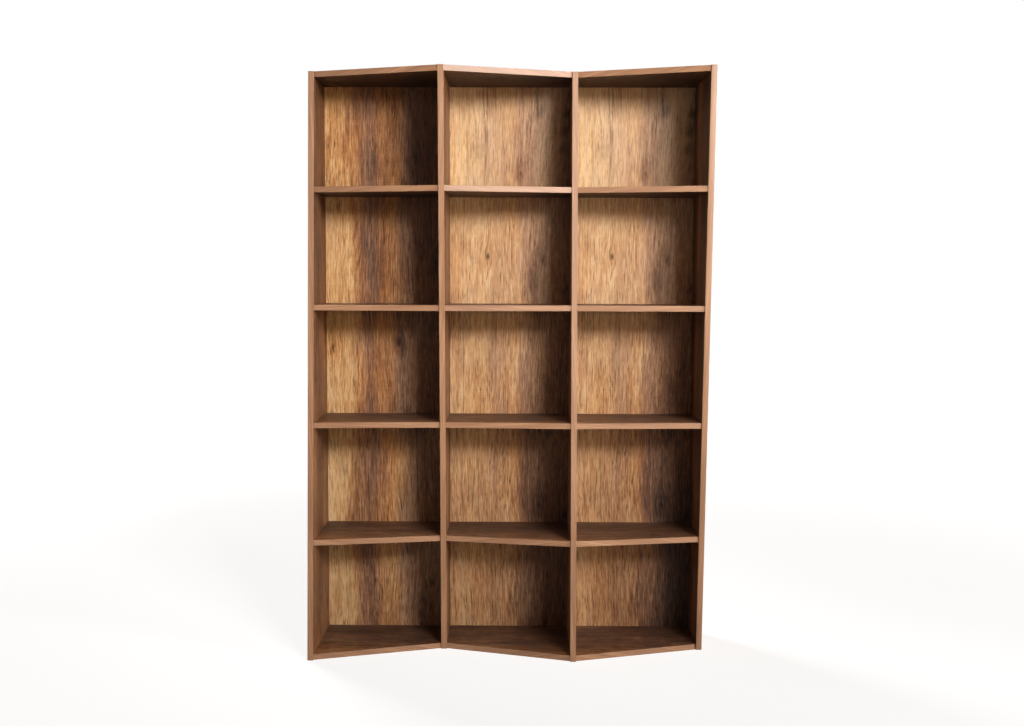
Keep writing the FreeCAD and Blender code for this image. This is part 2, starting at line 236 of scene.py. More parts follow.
# the inks from dark to light, how far pores and smoke keep to their patches and streaks, how far a unit of
# slide moves the print, its roughness, and the relief that is pressed into the sheet
GOLDEN_INKS = (
    (0.00, tint(40, 25, 17)), (0.22, tint(84, 51, 31)), (0.42, tint(130, 81, 47)),
    (0.60, tint(172, 116, 70)), (0.78, tint(201, 153, 100)), (1.00, tint(222, 188, 142)),
)
MAUVE_INKS = (
    (0.00, tint(38, 30, 26)), (0.22, tint(73, 54, 44)), (0.42, tint(112, 81, 64)),
    (0.60, tint(149, 109, 84)), (0.78, tint(180, 141, 111)), (1.00, tint(206, 173, 141)),
)
SMOKE_INK = tint(56, 44, 41)
PORES_ALL_OVER = 0.25
SMOKE_ALL_OVER, SMOKE_IN_STREAKS = 0.4, 1.2
PRINT_SLIDE = (3.1, 5.3)
PRINT_ROUGHNESS = {"sheet": 0.47, "fibres": 0.16, "pores": 0.14}
PRINT_HEIGHTS = {"fibres": 0.4, "pores": -0.8, "cracks": -1.0, "saw marks": 0.4}


def make_wood_print():
    """The printed wood, flat on a face in metres.

    X runs across the grain and Y along it, and Z only slides the print to another part of it."""
    tree, given, result = new_group(
        "rustic wood print",
        (("Face", "NodeSocketVector", None), ("Tone", "NodeSocketFloat", 0.5),
         ("Hue", "NodeSocketFloat", 0.5), ("Knots", "NodeSocketFloat", 1.0),
         ("Smoke", "NodeSocketFloat", 0.3), ("Fine", "NodeSocketFloat", 1.2),
         ("Knot", "NodeSocketVector", NO_KNOT)),
        (("Color", "NodeSocketColor"), ("Roughness", "NodeSocketFloat"), ("Height", "NodeSocketFloat")),
    )
    face_x, face_y, slide = split(tree, given["Face"])
    x = calc(tree, "MULTIPLY_ADD", slide, PRINT_SLIDE[0], face_x)
    y = calc(tree, "MULTIPLY_ADD", slide, PRINT_SLIDE[1], face_y)

    def layer(name, across):
        """One of the print's noises, along a straight or a wandering grain."""
        return noise(tree, across, y, *PRINT_NOISES[name])

    def wander(name):
        """A noise as a shift to both sides."""
        return around(tree, layer(name, x), PRINT_SHIFTS[name])

    def mask(name, across):
        """A noise as a mask."""
        return band_pass(tree, layer(name, across), *PRINT_RANGES[name])

    def lines(name, across):
        """Thin lines along the middle value of a noise."""
        off = calc(tree, "ABSOLUTE", calc(tree, "SUBTRACT", layer(name, across), 0.5))
        return calc(tree, "SUBTRACT", 1.0, band_pass(tree, off, *PRINT_RANGES[name]))

    def spot(size):
        """A soft spot on the nearest knot, where there is one."""
        return times(tree, bell(tree, off_x, size[0]), bell(tree, off_y, size[1]), there)

    # a knot here and there, and one at a given place
    across, along = KNOT_CELLS
    cells = new_node(
        tree, "ShaderNodeTexVoronoi",
        {"Vector": join(tree, times(tree, x, across), times(tree, y, along)),
         "Scale": 1.0, "Randomness": 0.9},
        voronoi_dimensions="2D", feature="F1",
    )
    knot_x, knot_y, _ = split(tree, cells.outputs["Position"])
    dice, _, _ = split(tree, cells.outputs["Color"])
    own_x, own_y, _ = split(tree, given["Knot"])
    own_x = calc(tree, "SUBTRACT", own_x, face_x)
    own_y = calc(tree, "SUBTRACT", own_y, face_y)
    own = times(
        tree, calc(tree, "LESS_THAN", calc(tree, "ABSOLUTE", own_x), KNOT_REACH[0]),
        calc(tree, "LESS_THAN", calc(tree, "ABSOLUTE", own_y), KNOT_REACH[1]),
    )
    off_x = choose(tree, own, calc(tree, "SUBTRACT", calc(tree, "DIVIDE", knot_x, across), x), own_x)
    off_y = choose(tree, own, calc(tree, "SUBTRACT", calc(tree, "DIVIDE", knot_y, along), y), own_y)
    there = times(tree, calc(tree, "GREATER_THAN", dice, KNOT_CELLS_EMPTY), given["Knots"])
    there = calc(tree, "MAXIMUM", there, own)
    halo = spot(KNOT_HALO)
    heart = spot(KNOT_HEART)

    # the grain wanders from side to side and flows round a knot, and a check runs from the knot
    grain_x = calc(tree, "ADD", x, wander("slow wander"))
    grain_x = calc(tree, "ADD", grain_x, wander("quick wander"))
    grain_x = calc(tree, "MULTIPLY_ADD", times(tree, off_x, halo), KNOT_BEND, grain_x)
    check = bell(tree, calc(tree, "ADD", off_x, wander("check wander")), CHECK_SIZE[0])
    check = times(tree, check, bell(tree, calc(tree, "ADD", off_y, CHECK_ABOVE), CHECK_SIZE[1]), there)

    # pores and smoke come in patches, and ring lines and cracks are broken into lengths
    streaks = layer("streaks", grain_x)
    fibres = layer("fibres", grain_x)
    patches = mask("pore patches", grain_x)
    pores = calc(tree, "MULTIPLY_ADD", patches, 1.0 - PORES_ALL_OVER, PORES_ALL_OVER)
    pores = times(tree, mask("pores", grain_x), pores)
    smoke = calc(tree, "MULTIPLY_ADD", streaks, SMOKE_IN_STREAKS, SMOKE_ALL_OVER)
    smoke = times(tree, mask("smoke", grain_x), smoke)
    rings = times(tree, lines("rings", grain_x), mask("ring lengths", x))
    cracks = times(tree, lines("cracks", grain_x), mask("crack lengths", x))
    cracks = calc(tree, "MAXIMUM", cracks, check)

    # faint saw marks straight across the grain, in patches
    saw = times(tree, around(tree, layer("saw marks", x), 1.0), mask("sawn patches", x))

    tone = calc(tree, "ADD", given["Tone"], around(tree, layer("clouds", grain_x), PRINT_SHIFTS["clouds"]))
    tone = calc(tree, "ADD", tone, around(tree, streaks, PRINT_SHIFTS["streaks"]))
    for name in ("figure", "speckle"):
        tone = calc(tree, "ADD", tone, around(tree, layer(name, grain_x), PRINT_SHIFTS[name]))
    fine_lines = around(tree, fibres, PRINT_SHIFTS["fibres"])
    tone = calc(tree, "MULTIPLY_ADD", fine_lines, given["Fine"], tone)
    tone = calc(tree, "MULTIPLY_ADD", saw, PRINT_SHIFTS["saw marks"], tone)
    tone = calc(tree, "MULTIPLY_ADD", halo, -KNOT_HALO_TONE, tone)
    hue = around(tree, layer("hue", grain_x), PRINT_SHIFTS["hue"])
    hue = calc(tree, "ADD", given["Hue"], hue, clamp=True)
    colour = mix(tree, hue, ramp(tree, tone, GOLDEN_INKS), ramp(tree, tone, MAUVE_INKS))
    colour = mix(tree, calc(tree, "MULTIPLY", smoke, given["Smoke"], clamp=True), colour, SMOKE_INK)
    marks = {"pores": times(tree, pores, given["Fine"]), "rings": rings, "cracks": cracks, "heart": heart}
    light_left = [calc(tree, "MULTIPLY_ADD", mark, -PRINT_MARKS[name], 1.0) for name, mark in marks.items()]
    colour = mix(tree, 1.0, colour, times(tree, *light_left), "MULTIPLY")
    tree.links.new(colour, result["Color"])

    rough = calc(tree, "ADD", PRINT_ROUGHNESS["sheet"], around(tree, fibres, PRINT_ROUGHNESS["fibres"]))
    rough = calc(tree, "MULTIPLY_ADD", pores, PRINT_ROUGHNESS["pores"], rough)
    tree.links.new(rough, result["Roughness"])
    height = times(tree, fibres, PRINT_HEIGHTS["fibres"])
    for name, mark in (("pores", pores), ("cracks", cracks), ("saw marks", saw)):
        height = calc(tree, "MULTIPLY_ADD", mark, PRINT_HEIGHTS[name], height)
    tree.links.new(height, result["Height"])
    return tree


CHIPS_PER_METRE, CHIP_SHADES = 420.0, 0.8
DUST_PER_METRE, DUST_SHADES = 900.0, 0.5
CHIP_COLOURS = (
    (0.00, tint(104, 72, 46)), (0.25, tint(156, 118, 78)), (0.60, tint(190, 153, 108)),
    (1.00, tint(216, 186, 142)),
)


def make_chipboard():
    """The pressed chips that show on a sawn edge: pale and brown flakes of a few millimetres."""
    tree, given, result = new_group(
        "chipboard core", (("Place", "NodeSocketVector", None),),
        (("Color", "NodeSocketColor"), ("Height", "NodeSocketFloat")),
    )
    chips = new_node(tree, "ShaderNodeTexVoronoi", {"Vector": given["Place"], "Scale": CHIPS_PER_METRE})
    dust = new_node(
        tree, "ShaderNodeTexNoise", {"Vector": given["Place"], "Scale": DUST_PER_METRE, "Detail": 2.0},
    )
    dice, _, _ = split(tree, chips.outputs["Color"])
    shade = calc(tree, "ADD", times(tree, dice, CHIP_SHADES), around(tree, dust.outputs[0], DUST_SHADES))
    tree.links.new(ramp(tree, shade, CHIP_COLOURS), result["Color"])
    tree.links.new(shade, result["Height"])
    return tree


def start_material(name):
    """A new material with a Principled shader, and the piece's own coordinates."""
    material = bpy.data.materials.new(name)
    material.use_nodes = True
    tree = material.node_tree
    tree.nodes.clear()
    shader = new_node(tree, "ShaderNodeBsdfPrincipled")
    new_node(tree, "ShaderNodeOutputMaterial", {"Surface": shader.outputs["BSDF"]})
    return material, tree, shader, new_node(tree, "ShaderNodeTexCoord").outputs


def emboss(tree, shader, height, distance, strength=0.6):
    """Relief on the surface, so many metres deep."""
    bump = new_node(tree, "ShaderNodeBump", {"Height": height, "Distance": distance, "Strength": strength})
    tree.links.new(bump.outputs["Normal"], shader.inputs["Normal"])


SHEET_GLOSS = 0.15


def lay_finish(tree, shader, mask, first, second, relief):
    """Gives the shader the first finish where the mask is 0 and the second where it is 1.

    A finish is a colour, a roughness and a height."""
    tree.links.new(mix(tree, mask, first[0], second[0]), shader.inputs["Base Color"])
    tree.links.new(choose(tree, mask, first[1], second[1]), shader.inputs["Roughness"])
    emboss(tree, shader, choose(tree, mask, first[2], second[2]), relief)
    shader.inputs["Specular IOR Level"].default_value = SHEET_GLOSS


# the lines between tones sway: how many to the metre across and along the grain, and how far as a share
TONE_SWAYS = (((3.0, 2.2), 0.20), ((18.0, 4.0), 0.18), ((80.0, 9.0), 0.12))


def spread_tones(tree, across, along, ends, stops):
    """Share of the way from one side of the board to the other, and the print's tone and hue there."""
    share = calc(tree, "DIVIDE", calc(tree, "SUBTRACT", across, ends[0]), ends[1] - ends[0])
    for per_metre, amount in TONE_SWAYS:
        sway = around(tree, noise(tree, across, along, per_metre, 2.0), amount)
        share = calc(tree, "ADD", share, sway)
    tone, hue, _ = split(tree, ramp(tree, share, [(at, (tone, hue, 0.0, 1.0)) for at, tone, hue in stops]))
    return share, tone, hue


wood_print = make_wood_print()
chipboard = make_chipboard()
SHEET_RELIEF = 0.00012
SHEET_SLIDE = 7.0
# how far the painted shade on a face that looks left or down turns its print towards mauve
PAINTED_SHADE_HUE = 3.0
SAWN_ROUGHNESS = 0.85


def make_board_wood(name, face_axis, across, along, tones, painted_shade, knots):
    """Material of a faced board: the print on its two faces, chipboard on its sawn edges.

    The face that looks left or down carries painted shade: its print is toned down and more mauve than on
    the other face."""
    material, tree, shader, at = start_material(name)
    place = split(tree, at["Object"])
    normal = split(tree, at["Normal"])[face_axis]
    # painted shade: faces that look left or down get a lower tone and a more mauve hue
    turned = calc(tree, "LESS_THAN", normal, 0.0)
    _, tone, hue = spread_tones(tree, place[across], place[along], FRONT_TO_REAR, tones)
    wood = new_node(
        tree, "ShaderNodeGroup",
        {"Face": join(tree, place[across], place[along], times(tree, place[face_axis], SHEET_SLIDE)),
         "Tone": calc(tree, "MULTIPLY_ADD", turned, -painted_shade, tone),
         "Hue": calc(tree, "MULTIPLY_ADD", turned, PAINTED_SHADE_HUE * painted_shade, hue), "Knots": knots},
        node_tree=wood_print,
    ).outputs
    core = new_node(tree, "ShaderNodeGroup", {"Place": at["Object"]}, node_tree=chipboard).outputs
    on_face = calc(tree, "GREATER_THAN", calc(tree, "ABSOLUTE", normal), 0.7)
    lay_finish(
        tree, shader, on_face, (core["Color"], SAWN_ROUGHNESS, core["Height"]),
        (wood["Color"], wood["Roughness"], wood["Height"]), SHEET_RELIEF,
    )
    return material


for upright, tones in UPRIGHT_TONES.items():
    nodes[upright].material_slots[0].material = make_board_wood(
        f"{upright}_wood", X, Y, Z, tones, UPRIGHT_PAINTED_SHADE[upright], UPRIGHT_KNOTS,
    )


# The boards: three bottoms, twelve shelves and three tops, of the same faced chipboard. The grain runs
# from upright to upright, and the ends butt against the uprights, drawn tight by the cam locks.
BAYS = ("left", "middle", "right")
LEVELS = ("bottom_board", "shelf_1", "shelf_2", "shelf_3", "shelf_4", "top_board")
# the print from front to rear: share, tone and hue. Towards the rear it is toned down and more mauve,
# partly the print and partly painted shade from the board above
BOARD_TONES = (
    (0.00, 0.62, 0.2), (0.22, 0.51, 0.5), (0.42, 0.41, 0.9), (0.70, 0.35, 1.0), (1.00, 0.35, 0.9),
)
# painted shade on the boards' undersides, as on the uprights' left faces
BOARD_PAINTED_SHADE = 0.12
BOARD_KNOTS = 0.4

board_wood = make_board_wood("board_wood", Z, Y, X, BOARD_TONES, BOARD_PAINTED_SHADE, BOARD_KNOTS)
for bay in BAYS:
    for level in LEVELS:
        nodes[f"{bay}_{level}"].material_slots[0].material = board_wood


# The back panels: one 3 mm hardboard sheet per bay, printed in front with the grain running up and plain
# brown behind. Each slides in grooves round its bay. The middle and the right one carry the same print.
MIDDLE_BACK_TONES = (
    (0.00, 0.78, 0.4), (0.12, 0.86, 0.4), (0.32, 0.85, 0.5), (0.44, 0.77, 0.7), (0.55, 0.77, 0.4),
    (0.65, 0.70, 1.0), (0.80, 0.75, 0.9), (1.00, 0.74, 0.8),
)
MIDDLE_BACK_KNOT = (-0.071, 1.276, 0.0)

# tones from left to right, the print's shift, painted light and shade: how much the tone changes from floor
# to top all over and in the right third, for the lamps' fall-off down the case and the shadow of the
# upright on the right, the strength of the fine lines at the floor and its change to the top, and a knot's
# place
BACKS = {
    "left": {
        "tones": (
            (0.00, 0.83, 0.0), (0.18, 0.79, 0.0), (0.25, 0.60, 0.4), (0.36, 0.45, 1.0), (0.42, 0.50, 0.5),
            (0.50, 0.59, 0.2), (0.60, 0.58, 0.3), (0.67, 0.60, 1.0), (1.00, 0.60, 0.9),
        ),
        "shift": 0.37, "painted_light_fades": (-0.18, -0.04), "fine": (1.6, -0.3), "knot": (0.045, 0.985, 0.0),
    },
    "middle": {
        "tones": MIDDLE_BACK_TONES, "shift": 0.83, "painted_light_fades": (0.16, 0.26), "fine": (1.6, -0.7),
        "knot": MIDDLE_BACK_KNOT,
    },
    "right": {
        "tones": MIDDLE_BACK_TONES, "shift": 0.83, "painted_light_fades": (0.22, 0.60), "fine": (1.6, -0.7),
        "knot": MIDDLE_BACK_KNOT,
    },
}
BACK_RISE = 1.848
PAINTED_LIGHT_PIVOTS = (0.65, 0.70)
RIGHT_THIRD = (0.50, 0.85)
BACK_KNOTS = 0.7
BACK_SMOKE = (0.20, 0.55)
BACK_RELIEF = 0.00010
SIEVE_PITCH = 0.0021
FELT_NOISES = (((260.0, 260.0), 3.0, 0.7), ((9.0, 6.0), 4.0, 0.6))
FELT_CLOUDS = 0.7
HARDBOARD_COLOURS = ((0.20, tint(98, 69, 44)), (0.50, tint(126, 92, 61)), (0.80, tint(150, 114, 79)))
HARDBOARD_ROUGHNESS = 0.8


def make_back_print(name, box, tones, shift, painted_light_fades, fine, knot):
    """Material of a back panel: the print in front, bare hardboard with its sieve marks behind."""
    material, tree, shader, at = start_material(name)
    middle = (box[0].x + box[1].x) / 2
    half = (box[1].x - box[0].x) / 2
    place = split(tree, at["Object"])
    across = calc(tree, "SUBTRACT", place[X], middle)
    share, tone, hue = spread_tones(
        tree, calc(tree, "ADD", across, shift), place[Z], (shift - half, shift + half), tones,
    )
    rise = calc(tree, "DIVIDE", place[Z], BACK_RISE)
    right = band_pass(tree, share, *RIGHT_THIRD)
    # painted light and shade: the tone rises or falls with height all over, and further in the right third,
    # as the lamps' light and the right-hand upright's shadow would make it
    tone = calc(tree, "MULTIPLY_ADD", calc(tree, "SUBTRACT", rise, PAINTED_LIGHT_PIVOTS[0]), painted_light_fades[0], tone)
    painted_shadow_slope = times(tree, calc(tree, "SUBTRACT", rise, PAINTED_LIGHT_PIVOTS[1]), painted_light_fades[1])
    wood = new_node(
        tree, "ShaderNodeGroup",
        {"Face": join(tree, across, place[Z], shift),
         "Tone": calc(tree, "MULTIPLY_ADD", right, painted_shadow_slope, tone),
         "Hue": hue, "Knots": BACK_KNOTS, "Knot": knot,
         "Fine": calc(tree, "MULTIPLY_ADD", rise, fine[1], fine[0]),
         "Smoke": calc(tree, "MULTIPLY_ADD", right, BACK_SMOKE[1], BACK_SMOKE[0])},
        node_tree=wood_print,
    ).outputs
    waves = [calc(tree, "SINE", times(tree, place[way], 2 * math.pi / SIEVE_PITCH)) for way in (X, Z)]
    fibre, clouds = [noise(tree, place[X], place[Z], *felt) for felt in FELT_NOISES]
    felt = calc(tree, "ADD", fibre, around(tree, clouds, FELT_CLOUDS))
    behind = calc(tree, "GREATER_THAN", split(tree, at["Normal"])[Y], 0.5)
    lay_finish(
        tree, shader, behind, (wood["Color"], wood["Roughness"], wood["Height"]),
        (ramp(tree, felt, HARDBOARD_COLOURS), HARDBOARD_ROUGHNESS, times(tree, *waves)), BACK_RELIEF,
    )
    return material


for bay in BAYS:
    panel = f"{bay}_back_panel"
    printed = make_back_print(f"{panel}_print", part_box(panel), **BACKS[bay])
    nodes[panel].material_slots[0].material = printed


# The edge bands: pale wood-tone plastic strips, 1 mm thick, glued to the front edge of every upright and
# board and trimmed with a small rounding along both long edges. They have a satin gloss.
BAND_ROUNDING = 0.0006
BAND_STREAKS = ((420.0, 5.0), 3.0, 0.6)
BAND_CLOUDS = ((40.0, 2.6), 2.0, 0.5)
BAND_CLOUDINESS = 0.6
BAND_WRAP = 0.9
BAND_COLOURS = ((0.20, tint(128, 86, 56)), (0.55, tint(155, 111, 77)), (0.85, tint(185, 141, 106)))
BAND_ROUGHNESS, BAND_UNEVENNESS = 0.48, 0.12
BAND_GLOSS = 0.75
BAND_RELIEF = 0.00003
SAME_PLACE = 1e-6


def make_band_plastic(name, along):
    """Material of the strips: fine pale streaks along their length, with a satin gloss."""
    material, tree, shader, at = start_material(name)
    place = split(tree, at["Object"])
    side = calc(tree, "ADD", place[X + Z - along], times(tree, place[Y], BAND_WRAP))
    streaks = noise(tree, side, place[along], *BAND_STREAKS)
    clouds = noise(tree, side, place[along], *BAND_CLOUDS)
    shade = calc(tree, "ADD", streaks, around(tree, clouds, BAND_CLOUDINESS))
    rough = calc(tree, "ADD", BAND_ROUGHNESS, around(tree, streaks, BAND_UNEVENNESS))
    tree.links.new(ramp(tree, shade, BAND_COLOURS), shader.inputs["Base Color"])
    tree.links.new(rough, shader.inputs["Roughness"])
    shader.inputs["Specular IOR Level"].default_value = BAND_GLOSS
    emboss(tree, shader, streaks, BAND_RELIEF, 0.4)
    return material


def make_band(node, along):
    """A copy of the band's solid as clean faces, with its two long front edges rounded."""
    body = bmesh.new()
    body.from_mesh(nodes[node].data)
    bmesh.ops.remove_doubles(body, verts=body.verts, dist=SAME_PLACE)
    bmesh.ops.dissolve_limit(body, angle_limit=math.radians(1.0), verts=body.verts, edges=body.edges)
    front = min(body.faces, key=lambda face: face.normal.y)
    runs = {edge: (edge.verts[0].co - edge.verts[1].co).normalized() for edge in front.edges}
    bmesh.ops.bevel(
        body, geom=[edge for edge, run in runs.items() if abs(run[along]) > 0.7], offset=BAND_ROUNDING,
        offset_type="OFFSET", segments=3, profile=0.5, affect="EDGES",
    )
    bmesh.ops.recalc_face_normals(body, faces=body.faces)
    mesh = bpy.data.meshes.new(f"{node}_strip")
    body.to_mesh(mesh)
    body.free()
    strip = bpy.data.objects.new(f"{node}_strip", mesh)
    bpy.context.scene.collection.objects.link(strip)
    return strip


band_plastic = {X: make_band_plastic("board_band", X), Z: make_band_plastic("upright_band", Z)}
banded = [(upright, Z) for upright in UPRIGHT_TONES]
banded += [(f"{bay}_{level}", X) for bay in BAYS for level in LEVELS]
for board, along in banded:
    strip = make_band(f"{board}_band", along)
    strip.data.materials.append(band_plastic[along])
    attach(strip, "root")
    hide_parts(f"{board}_band")


# The cam locks: die-cast zinc drums pressed into the undersides of the boards, four to a board. A turn of
# the cross recess draws the bolt's head in through the mouth, and an arrow beside the cross points to it.
CAM_SIZES = {
    "Diameter": 0.0150, "Height": 0.0133, "Chamfer": 0.0005, "Drive Length": 0.0080, "Drive Width": 0.0020,
    "Drive Depth": 0.0015, "Arrow": 0.0012, "Mouth": 0.0076, "Mouth Height": 0.0090,
}
DRUM_SIDES = 40
MOUTH_SIDES = 24
ARROW_OUTWARDS = 0.74
METAL_GRAINS_PER_METRE = 700.0
METAL_UNEVENNESS = 0.2
METAL_RELIEF = 0.00005


def cam_places():
    """The middle of every cam lock's lower face, and the turn that points it to the nearer upright."""
    body = bmesh.new()
    body.from_mesh(nodes["cam_locks"].data)
    bmesh.ops.remove_doubles(body, verts=body.verts, dist=SAME_PLACE)
    bay_middles = [(low.x + high.x) / 2 for low, high in (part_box(f"{bay}_back_panel") for bay in BAYS)]
    waiting = set(body.verts)
    found = []
    while waiting:
        island, edge = [], [waiting.pop()]
        while edge:
            vertex = edge.pop()
            island.append(vertex.co.copy())
            for link in vertex.link_edges:
                other = link.other_vert(vertex)
                if other in waiting:
                    waiting.remove(other)
                    edge.append(other)
        x = (min(c.x for c in island) + max(c.x for c in island)) / 2
        y = (min(c.y for c in island) + max(c.y for c in island)) / 2
        bay_middle = min(bay_middles, key=lambda middle: abs(middle - x))
        found.append(((x, y, min(c.z for c in island)), 0.0 if x > bay_middle else math.pi))
    body.free()
    found.sort(key=lambda cam: tuple(round(c, 4) for c in cam[0]))
    return [place for place, _ in found], [turn for _, turn in found]


def make_cam_tree():
    """Geometry nodes that cast one cam lock, face down, and set it at every point with the point's turn."""
    tree = bpy.data.node_groups.new("cam locks", "GeometryNodeTree")
    tree.is_modifier = True
    tree.interface.new_socket("Geometry", in_out="INPUT", socket_type="NodeSocketGeometry")
    for label, size in CAM_SIZES.items():
        socket = tree.interface.new_socket(label, in_out="INPUT", socket_type="NodeSocketFloat")
        socket.default_value = size
    tree.interface.new_socket("Metal", in_out="INPUT", socket_type="NodeSocketMaterial")
    tree.interface.new_socket("Geometry", in_out="OUTPUT", socket_type="NodeSocketGeometry")
    given = tree.nodes.new("NodeGroupInput").outputs
    result = tree.nodes.new("NodeGroupOutput").inputs

    def shape(kind, **inputs):
        """The mesh of a node, its inputs named with _ for a blank."""
        return new_node(tree, kind, {k.replace("_", " "): v for k, v in inputs.items()}).outputs[0]

    def move(part, place, turn=(0.0, 0.0, 0.0)):
        """A part, moved and turned."""
        return shape("GeometryNodeTransform", Geometry=part, Translation=place, Rotation=turn)

    radius = times(tree, given["Diameter"], 0.5)
    drum_height = calc(tree, "SUBTRACT", given["Height"], given["Chamfer"])
    lift = calc(tree, "MULTIPLY_ADD", drum_height, 0.5, given["Chamfer"])
    drum = shape("GeometryNodeMeshCylinder", Vertices=DRUM_SIDES, Radius=radius, Depth=drum_height)
    drum = move(drum, join(tree, 0.0, 0.0, lift))
    rim = shape(
        "GeometryNodeMeshCone", Vertices=DRUM_SIDES, Radius_Top=radius,
        Radius_Bottom=calc(tree, "SUBTRACT", radius, given["Chamfer"]), Depth=given["Chamfer"],
    )
    whole = new_node(tree, "GeometryNodeMeshBoolean", operation="UNION", solver="EXACT")
    for part in (drum, rim):
        tree.links.new(part, whole.inputs["Mesh 2"])

    cut = new_node(
        tree, "GeometryNodeMeshBoolean", {"Mesh 1": whole.outputs["Mesh"]},
        operation="DIFFERENCE", solver="EXACT",
    )
    length, width = given["Drive Length"], given["Drive Width"]
    drive_height = times(tree, given["Drive Depth"], 2.0)
    for long, wide in ((length, width), (width, length)):
        slot = shape("GeometryNodeMeshCube", Size=join(tree, long, wide, drive_height))
        tree.links.new(slot, cut.inputs["Mesh 2"])
    arrow = shape("GeometryNodeMeshCylinder", Vertices=3, Radius=given["Arrow"], Depth=given["Chamfer"])
    arrow = move(arrow, join(tree, times(tree, radius, ARROW_OUTWARDS), 0.0, 0.0))
    tree.links.new(arrow, cut.inputs["Mesh 2"])
    mouth = shape(
        "GeometryNodeMeshCylinder", Vertices=MOUTH_SIDES, Radius=times(tree, given["Mouth"], 0.5),
        Depth=given["Diameter"],
    )
    mouth = move(mouth, join(tree, radius, 0.0, given["Mouth Height"]), (0.0, math.pi / 2, 0.0))
    tree.links.new(mouth, cut.inputs["Mesh 2"])

    turn = new_node(tree, "GeometryNodeInputNamedAttribute", {"Name": "turn"}, data_type="FLOAT").outputs[0]
    placed = shape(
        "GeometryNodeInstanceOnPoints", Points=given["Geometry"], Instance=cut.outputs["Mesh"],
        Rotation=join(tree, 0.0, 0.0, turn),
    )
    real = shape("GeometryNodeRealizeInstances", Geometry=placed)
    finished = shape("GeometryNodeSetMaterial", Geometry=real, Material=given["Metal"])
    tree.links.new(finished, result["Geometry"])
    return tree


def make_metal(name, light, dark, roughness):
    """Material of the fittings: dull metal, mottled from casting and plating."""
    material, tree, shader, at = start_material(name)
    cast = new_node(
        tree, "ShaderNodeTexNoise",
        {"Vector": at["Object"], "Scale": METAL_GRAINS_PER_METRE, "Detail": 4.0},
    ).outputs[0]
    tree.links.new(ramp(tree, cast, ((0.3, dark), (0.7, light))), shader.inputs["Base Color"])
    rough = calc(tree, "ADD", roughness, around(tree, cast, METAL_UNEVENNESS))
    tree.links.new(rough, shader.inputs["Roughness"])
    shader.inputs["Metallic"].default_value = 1.0
    emboss(tree, shader, cast, METAL_RELIEF)
    return material


zinc = make_metal("zinc", tint(138, 136, 132), tint(94, 92, 89), 0.55)
places, turns = cam_places()
points = bpy.data.meshes.new("cam_points")
points.from_pydata(places, [], [])
points.attributes.new("turn", "FLOAT", "POINT").data.foreach_set("value", turns)
cams = bpy.data.objects.new("cast_cam_locks", points)
bpy.context.scene.collection.objects.link(cams)
casting = cams.modifiers.new("casting", "NODES")
casting.node_group = make_cam_tree()
for socket in casting.node_group.interface.items_tree:
    if socket.in_out == "INPUT" and socket.name in CAM_SIZES:
        casting[socket.identifier] = CAM_SIZES[socket.name]
    elif socket.in_out == "INPUT" and socket.name == "Metal":
        casting[socket.identifier] = zinc
bpy.context.view_layer.update()
cast_mesh = bpy.data.meshes.new_from_object(cams.evaluated_get(bpy.context.evaluated_depsgraph_get()))
cams.modifiers.remove(casting)
cams.data = cast_mesh
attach(cams, "root")
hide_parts("cam_locks")


# The cam bolts: plated steel pins with a waist behind the head, screwed into the inner faces of the side
# panels, and double-ended ones through the dividers. The boards hide them once the cam locks are turned.
steel = make_metal("steel", tint(200, 200, 198), tint(160, 160, 158), 0.35)
for group in ("side_cam_bolts", "divider_cam_bolts"):
    nodes[group].material_slots[0].material = steel


# The dowels: turned beech pins of 8 mm with chamfered ends, pushed into the side panels or through the
# dividers. They keep the board ends from turning, and the boards hide them.
BEECH_FLECKS = ((900.0, 60.0), 2.0, 0.5)
BEECH_COLOURS = ((0.3, tint(184, 142, 98)), (0.7, tint(214, 178, 134)))
BEECH_ROUGHNESS, BEECH_UNEVENNESS = 0.6, 0.2
BEECH_RELIEF = 0.0001


def make_beech():
    """Material of the dowels: pale beech with short flecks along the dowel."""
    material, tree, shader, at = start_material("beech")
    place = split(tree, at["Object"])
    flecks = noise(tree, place[Y], place[X], *BEECH_FLECKS)
    rough = calc(tree, "ADD", BEECH_ROUGHNESS, around(tree, flecks, BEECH_UNEVENNESS))
    tree.links.new(ramp(tree, flecks, BEECH_COLOURS), shader.inputs["Base Color"])
    tree.links.new(rough, shader.inputs["Roughness"])
    emboss(tree, shader, flecks, BEECH_RELIEF)
    return material


beech = make_beech()
for group in ("side_dowels", "divider_dowels"):
    nodes[group].material_slots[0].material = beech


# The floor: a large plain sheet, grey to the lamps so that it throws little light back. To the camera and
# in reflections it glows white, a painted brightness that is weaker near the bookcase, so that its shadow
# shows; it is brightest away from it.
FLOOR_HALF = 12.0
FLOOR_DROP = 0.0005
FLOOR_GREY = (0.45, 0.45, 0.45, 1.0)
FLOOR_ROUGHNESS = 0.9
WHITE = (1.0, 1.0, 1.0, 1.0)
GLOW_NEAR, GLOW_FAR = 0.76, 1.0
GLOW_RISE = (0.6, 3.6)


def seen_plainly(tree):
    """1 for the camera, for reflections and through glass, 0 for all other light."""
    sees = new_node(tree, "ShaderNodeLightPath").outputs
    mirrored = calc(tree, "MAXIMUM", sees["Is Glossy Ray"], sees["Is Transmission Ray"])
    return calc(tree, "MAXIMUM", sees["Is Camera Ray"], mirrored)


